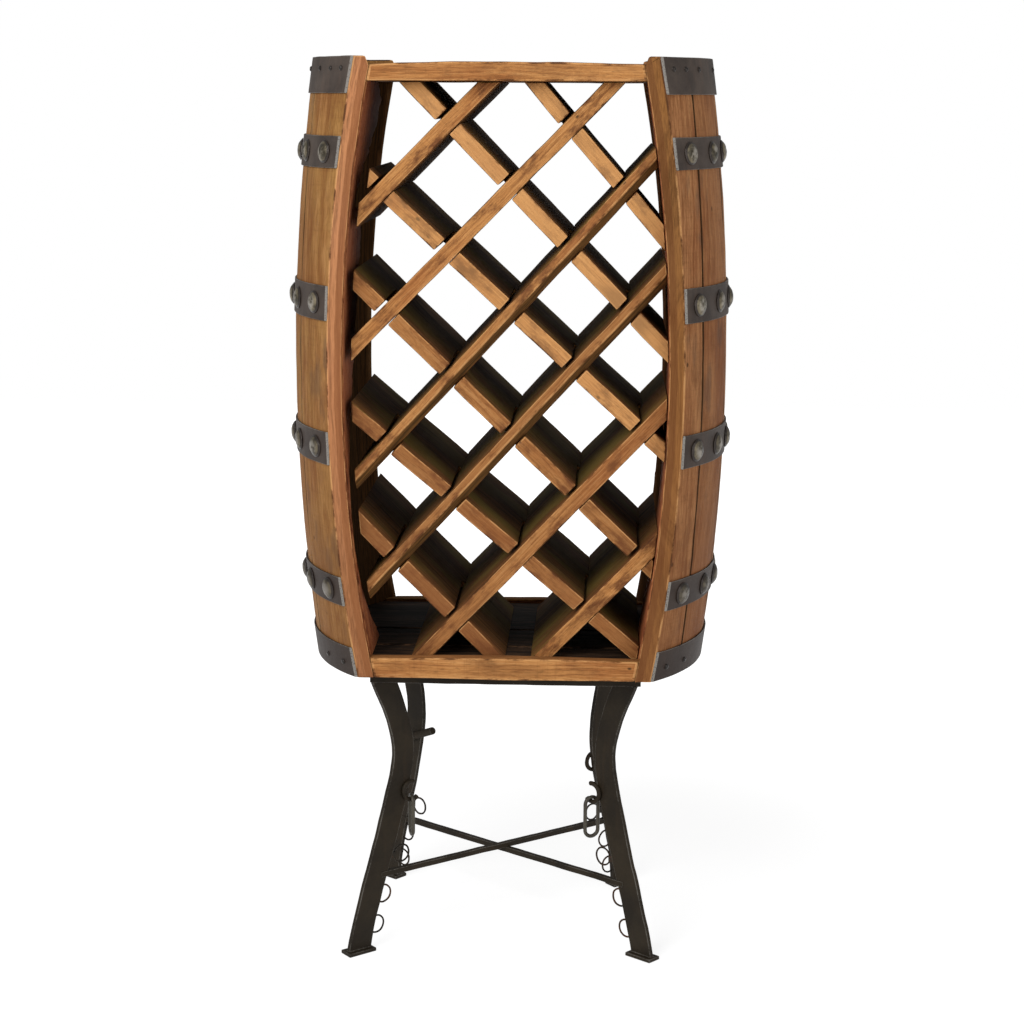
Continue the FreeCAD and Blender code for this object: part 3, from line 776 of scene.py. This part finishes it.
def stave_outline():
    """Half section of the barrel's wall, with the chime bevelled inside its top"""
    b = sizes()
    heights = [b.height * row / STAVE_ROWS for row in range(STAVE_ROWS + 1)]
    shoulder = b.height - b.chime_height
    outer = [(wall_radius(height), b.foot + height) for height in heights]
    inner = [(wall_radius(height) - b.stave, b.foot + height)
             for height in heights if height < shoulder - CHIME_CLEAR]
    inner.append((wall_radius(shoulder) - b.stave, b.foot + shoulder))
    inner.append((wall_radius(b.height) - b.stave + b.chime_depth, b.foot + b.height))
    return outer + inner[::-1]


def bent_grain(seed):
    """The grain of a bent stave: along its length, round the barrel and in from its outer face"""
    def place(co):
        round_barrel = math.atan2(co.y, abs(co.x)) * sizes().head
        return shifted_grain(co.z, round_barrel, -depth_in_wall(co), seed)
    return place


def inner_mark(co):
    """0 on the outer face of a stave and 1 on its inner face"""
    return depth_in_wall(co) / sizes().stave


def inside_mark(co):
    """1 on the inner face of a stave, away from the saw cuts"""
    b = sizes()
    behind_cut = abs(co.y) < b.cut - INSIDE_MARGIN
    return float(behind_cut and depth_in_wall(co) > b.stave * INSIDE_SHARE)


def low_mark(co):
    """How dark the barrel is painted, by grime and by painted shade: more towards its foot"""
    b = sizes()
    return clamped(FOOT_GRIME_AND_SHADE - (co.z - b.foot) / b.height, 0.0, FOOT_GRIME_AND_SHADE)


class RACK_OT_staves(bpy.types.Operator):
    """Bent staves of both walls, cut flat at the front and the rear"""
    bl_idname = "rack.staves"
    bl_label = "Staves"

    def execute(self, context):
        for side, (seams, tones) in WALLS.items():
            edges = (-WALL_REACH,) + seams + (WALL_REACH,)
            for number, place in enumerate(zip(edges[:-1], edges[1:], tones), 1):
                self.stave(side, number, *place)
        return {"FINISHED"}

    def stave(self, side, number, low, high, tone):
        """One stave between two seams, or between a seam and a saw cut"""
        b, w = sizes(), wear()
        half_gap = math.degrees(getattr(b, side + "_gap") / 2.0 / (b.head + b.bulge))
        start = low + half_gap if low > -WALL_REACH else low
        end = high - half_gap if high < WALL_REACH else high
        whole = abs(low) < WALL_REACH and high < WALL_REACH
        bm = spun_wall(stave_outline(), start, end, SEAM_STEPS if whole else CUT_STEPS)
        if side == "left":
            mirror_across(bm)
        slice_along(bm, UP, w.stave_step)
        round_arrises(bm, w.stave_arris, cut=b.cut)
        make_uneven(bm, w.stave_warp, wave=0.07, seed=number)
        name = "%s_%d" % (side, number)
        add_piece(bm, "oak_stave_" + name, "staves_" + side, ["stave_" + name],
                  grain=bent_grain(number + (11 if side == "left" else 0)), tone=tone,
                  marks={"inside": inside_mark, "inner": inner_mark, "shade": low_mark})


class RACK_OT_bands(bpy.types.Operator):
    """Iron bands round both walls"""
    bl_idname = "rack.bands"
    bl_label = "Bands"

    def execute(self, context):
        for side in WALLS:
            for number in range(1, 7):
                self.band(side, number)
        return {"FINISHED"}

    def band(self, side, number):
        """One band, as high as its node"""
        node = "band_%s_%d" % (side, number)
        low, high = (corner.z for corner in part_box(node))
        inner = irons().clearance
        outer = inner + irons().band
        corners = ((low, inner), (high, inner), (high, outer), (low, outer))
        points = [(wall_radius(height - sizes().foot) + out, height) for height, out in corners]
        bm = spun_wall(points, -WALL_REACH, WALL_REACH, BAND_STEPS)
        if side == "left":
            mirror_across(bm)
        round_arrises(bm, wear().iron_arris, least=IRON_EDGE)
        make_uneven(bm, wear().band_warp, wave=0.03, seed=number)
        add_piece(bm, "iron_" + node, "bands", [node], marks={"shade": low_mark})


def turned(profile, steps):
    """A solid of revolution about Z from (radius, height) pairs that start and end on the axis"""
    bm = bmesh.new()
    outline = outline_of(bm, profile, closed=False)
    bmesh.ops.spin(bm, geom=outline, cent=(0, 0, 0), axis=UP, angle=math.tau, steps=steps,
                   use_merge=True, use_duplicate=False)
    bmesh.ops.remove_doubles(bm, verts=bm.verts, dist=WELD / 2.0)
    bmesh.ops.recalc_face_normals(bm, faces=bm.faces)
    return bm


def solid_middles(node):
    """The middle of each separate solid of a node, always in the same order"""
    bm = welded(node)
    seen = set()
    middles = []
    for start in bm.verts:
        if start in seen:
            continue
        seen.add(start)
        stack, group = [start], []
        while stack:
            vert = stack.pop()
            group.append(vert.co.copy())
            for edge in vert.link_edges:
                other = edge.other_vert(vert)
                if other not in seen:
                    seen.add(other)
                    stack.append(other)
        middles.append(sum(group, Vector()) / len(group))
    bm.free()
    return sorted(middles, key=lambda middle: tuple(round(value, 3) for value in middle))


def seat_on_band(middle):
    """The place and turn of a nail head that stands square on a band"""
    b, s = sizes(), irons()
    height = middle.z - b.foot
    lean = math.asin((height - b.height / 2.0) / bending_radius())
    out = Vector((middle.x, middle.y, 0.0)).normalized()
    normal = (out * math.cos(lean) + UP * math.sin(lean)).normalized()
    seat = out * (wall_radius(height) + s.clearance + s.band) + UP * middle.z
    return Matrix.Translation(seat) @ UP.rotation_difference(normal).to_matrix().to_4x4()


def nail_heads(node, profile, steps, dents):
    """One hammered head over each solid of a node, and each vertex's share of the head's height"""
    target = bmesh.new()
    shares = []
    top = max(height for radius, height in profile)
    for number, middle in enumerate(solid_middles(node)):
        head = turned(profile, steps)
        spin = Matrix.Rotation(number * HEAD_TURN, 4, "Z")
        bmesh.ops.transform(head, matrix=spin, verts=head.verts)
        for vert in head.verts:
            shares.append(vert.co.z / top)
            place = vert.co * DENT_SCALE + Vector((number * HEAD_SHIFT, 0, 0))
            vert.co += noise.noise_vector(place) * dents
        bmesh.ops.transform(head, matrix=seat_on_band(middle), verts=head.verts)
        mesh = mesh_of(head, "head")
        target.from_mesh(mesh)
        bpy.data.meshes.remove(mesh)
    return target, shares


class RACK_OT_nails(bpy.types.Operator):
    """Domed nail heads on the bands, and the small nails of the end bands"""
    bl_idname = "rack.nails"
    bl_label = "Nail heads"

    def execute(self, context):
        s = irons()
        dome = [(s.dome_radius * radius, height) for radius, height in DOME_RIM]
        dome += [(s.dome_radius * radius, s.dome_height * share) for radius, share in DOME_CROWN]
        bm, shares = nail_heads("dome_nails", dome, DOME_STEPS, s.dome_dents)
        domes = add_piece(bm, "hammered_domes", "domes", ["dome_nails"],
                          marks={"shade": low_mark})
        carry(domes.data, "crown", shares)
        small = [(s.nail_radius * radius, s.nail_height * share) for radius, share in NAIL_CROWN]
        bm = nail_heads("band_nails", small, NAIL_STEPS, s.nail_dents)[0]
        add_piece(bm, "small_band_nails", "nails", ["band_nails"])
        return {"FINISHED"}


class RACK_OT_linings(bpy.types.Operator):
    """Reddish lining boards behind the front edges, the left one split along its rear"""
    bl_idname = "rack.linings"
    bl_label = "Lining boards"

    def execute(self, context):
        def ragged(co):
            return clamped((co.y - SPLIT_REAR) / SPLIT_DEPTH, SPLIT_LEAST, 1.0)
        for side, (step, warp, wave) in LININGS.items():
            node = "lining_" + side
            bm = copy_of(node)
            round_arrises(bm, wear().lining_arris)
            slice_along(bm, UP, step)
            make_uneven(bm, warp, wave, seed=3.0, share=ragged)
            add_piece(bm, "split_" + node, "lining", [node],
                      grain=straight_grain(UP, seed=5.0), tone=0.2)
        return {"FINISHED"}


class RACK_OT_rails(bpy.types.Operator):
    """Rails across the front and the rear, at the top and the bottom"""
    bl_idname = "rack.rails"
    bl_label = "Rails"

    def execute(self, context):
        for node in ("top_rail_front", "top_rail_rear", "bottom_rail_front", "bottom_rail_rear"):
            add_board(node, "rails", wear().rail_arris, wear().board_warp,
                      direction=ACROSS, tone=0.2)
        return {"FINISHED"}


class RACK_OT_boards(bpy.types.Operator):
    """Boards of the floor and the top"""
    bl_idname = "rack.boards"
    bl_label = "Floor and top boards"

    def execute(self, context):
        for node in ("shelf_boards", "top_boards"):
            add_board(node, node, wear().board_arris, wear().plank_warp,
                      direction=ACROSS)
        return {"FINISHED"}


class RACK_OT_lattice(bpy.types.Operator):
    """Crossing boards that hold the bottles"""
    bl_idname = "rack.lattice"
    bl_label = "Lattice"

    def execute(self, context):
        for kind, row in TONES.items():
            for number, (tone, shade) in enumerate(zip(row, SHADES[kind]), 1):
                add_board("lattice_%s_%d" % (kind, number), "lattice",
                          wear().board_arris, wear().board_warp, tone=tone, shade=shade)
        return {"FINISHED"}


class RACK_OT_legs(bpy.types.Operator):
    """Forged legs with their foot plates"""
    bl_idname = "rack.legs"
    bl_label = "Legs"

    def execute(self, context):
        w = wear()
        for place in ("front_left", "front_right", "rear_left", "rear_right"):
            add_bar("leg_" + place, w.leg_arris, w.leg_warp, wave=0.035, seed=2.0, direction=UP,
                    step=w.leg_step)
        return {"FINISHED"}


class RACK_OT_stand(bpy.types.Operator):
    """Angle bars under the barrel and the crossed braces between the legs"""
    bl_idname = "rack.stand"
    bl_label = "Frame and braces"

    def execute(self, context):
        w = wear()
        for node in ("frame_long_bars", "frame_end_bars", "brace_low", "brace_high"):
            add_bar(node, w.iron_arris, w.bar_warp, wave=0.04, seed=4.0, step=w.bar_step,
                    direction=ACROSS if node == "frame_long_bars" else None)
        return {"FINISHED"}


class RACK_OT_loops(bpy.types.Operator):
    """Wire loops on the inner edges of the legs"""
    bl_idname = "rack.loops"
    bl_label = "Wire loops"

    def execute(self, context):
        bm = copy_of("wire_loops")
        make_uneven(bm, wear().wire_warp, wave=0.012, seed=5.0)
        add_piece(bm, "bent_wire_loops", "wire", ["wire_loops"])
        return {"FINISHED"}


class RACK_OT_hooks(bpy.types.Operator):
    """Rod hooks on the legs and the straight peg on the rear left leg"""
    bl_idname = "rack.hooks"
    bl_label = "Hooks and peg"

    def execute(self, context):
        for node in ("hooks", "peg_rear_left"):
            add_bar(node, wear().hook_arris, wear().hook_warp, wave=0.01, seed=6.0,
                    least=ROD_EDGE)
        return {"FINISHED"}


class RACK_OT_links(bpy.types.Operator):
    """Oval links that hang from the front hooks"""
    bl_idname = "rack.links"
    bl_label = "Hanging links"

    def execute(self, context):
        for side, body in LINKS.items():
            node = "link_" + side
            bm = copy_of(node)
            make_uneven(bm, wear().link_warp, wave=0.01, seed=8.0)
            add_piece(bm, "oval_" + node, "links", [node], body=body)
        return {"FINISHED"}


# Stage

def floor_finish(glow):
    """A pale floor that looks white away from the rack and keeps its shadow"""
    f = Finish("pale_floor", roughness=0.9)
    f.set("Base Color", (0.9, 0.9, 0.9, 1.0))
    rays = [f.node("ShaderNodeLightPath", output=kind)
            for kind in ("Is Camera Ray", "Is Glossy Ray")]
    light = f.node("ShaderNodeEmission", None, {"Color": WHITE, "Strength": glow})
    x, y, _ = f.split(f.coordinates("Object"))
    away = ((x * x + y * y) ** 0.5).ramp(0.5, 1.7)
    share = (rays[0] + rays[1]).math("MINIMUM", 1.0) * (away * 0.38 + 0.62)
    shader = Value(f, f.shader.outputs[0])
    mixed = f.node("ShaderNodeMixShader", None, {0: share, 1: shader, 2: light})
    f.join(f.tree.nodes["Material Output"].inputs["Surface"], mixed)
    return f.material


def add_floor(side, glow):
    """A square floor under the rack"""
    bm = bmesh.new()
    bmesh.ops.create_grid(bm, x_segments=2, y_segments=2, size=side / 2.0)
    mesh = mesh_of(bm, "pale_floor")
    mesh.materials.append(floor_finish(glow))
    new_object("pale_floor", mesh)


def add_lamp(name, place, size, power):
    """A square lamp that shines at the rack"""
    data = bpy.data.lights.new(name, "AREA")
    data.size = size
    data.energy = power
    lamp = new_object(name, data)
    lamp.location = place
    lamp.rotation_euler = (LAMP_AIM - Vector(place)).to_track_quat("-Z", "Y").to_euler()


def add_sky(strength):
    """Even light from all sides that the camera sees as white"""
    world = bpy.data.worlds.new("soft_sky")
    bpy.context.scene.world = world
    world.use_nodes = True
    tree = world.node_tree
    light = tree.nodes["Background"]
    white = tree.nodes.new("ShaderNodeBackground")
    for back, value in ((light, strength), (white, 1.0)):
        back.inputs["Color"].default_value = WHITE
        back.inputs["Strength"].default_value = value
    path = tree.nodes.new("ShaderNodeLightPath")
    mix = tree.nodes.new("ShaderNodeMixShader")
    tree.links.new(path.outputs["Is Camera Ray"], mix.inputs[0])
    tree.links.new(light.outputs[0], mix.inputs[1])
    tree.links.new(white.outputs[0], mix.inputs[2])
    tree.links.new(mix.outputs[0], tree.nodes["World Output"].inputs["Surface"])


def add_camera(settings):
    """The camera at the photograph's viewing angle"""
    data = bpy.data.cameras.new("camera")
    data.lens = settings.lens
    data.sensor_width = settings.sensor
    data.shift_x, data.shift_y = settings.shift
    camera = new_object("camera", data)
    yaw, pitch, roll = settings.yaw, settings.pitch, settings.roll
    forward = Vector((-math.sin(yaw) * math.cos(pitch), math.cos(yaw) * math.cos(pitch),
                      -math.sin(pitch)))
    right = forward.cross(UP).normalized()
    up = right.cross(forward)
    side = right * math.cos(roll) + up * math.sin(roll)
    top = up * math.cos(roll) - right * math.sin(roll)
    turn = Matrix((side, top, -forward)).transposed().to_4x4()
    camera.matrix_world = Matrix.Translation(settings.place) @ turn
    bpy.context.scene.camera = camera


class RACK_OT_stage(bpy.types.Operator):
    """Pale floor, soft lamps and the camera"""
    bl_idname = "rack.stage"
    bl_label = "Stage"

    def execute(self, context):
        settings = context.scene.rack_stage
        context.scene.view_settings.view_transform = "Standard"
        add_floor(settings.floor, settings.glow)
        for name, (place, size, power) in LAMPS.items():
            add_lamp(name, place, size, getattr(settings, power))
        add_sky(settings.sky)
        add_camera(settings)
        return {"FINISHED"}


GROUPS = {"rack_barrel": BarrelSizes, "rack_iron": IronSizes, "rack_wear": WearSizes,
          "rack_colours": FinishColours, "rack_stage": StageSizes}
OPERATORS = (RACK_OT_staves, RACK_OT_bands, RACK_OT_nails, RACK_OT_linings, RACK_OT_rails,
             RACK_OT_boards, RACK_OT_lattice, RACK_OT_legs, RACK_OT_stand, RACK_OT_loops,
             RACK_OT_hooks, RACK_OT_links, RACK_OT_stage)


class RACK_PT_panel(bpy.types.Panel):
    """Lists the pieces and the sizes of the wine rack"""
    bl_idname = "RACK_PT_panel"
    bl_label = "Wine rack"
    bl_space_type = "VIEW_3D"
    bl_region_type = "UI"
    bl_category = "Wine rack"

    def draw(self, context):
        for operator in OPERATORS:
            self.layout.operator(operator.bl_idname)
        for name, group in GROUPS.items():
            box = self.layout.box()
            box.label(text=group.__doc__)
            for key in group.__annotations__:
                box.prop(getattr(context.scene, name), key)


def register():
    """Makes the settings, the operators and the panel known to Blender"""
    for name, group in GROUPS.items():
        bpy.utils.register_class(group)
        setattr(bpy.types.Scene, name, PointerProperty(type=group))
    for made in OPERATORS + (RACK_PT_panel,):
        bpy.utils.register_class(made)


def unregister():
    """Takes them away again"""
    for made in reversed(OPERATORS + (RACK_PT_panel,)):
        bpy.utils.unregister_class(made)
    for name, group in GROUPS.items():
        delattr(bpy.types.Scene, name)
        bpy.utils.unregister_class(group)


def main():
    """Makes every piece and the stage"""
    register()
    for operator in OPERATORS:
        group, name = operator.bl_idname.split(".")
        getattr(getattr(bpy.ops, group), name)()


if __name__ == "__main__":
    main()
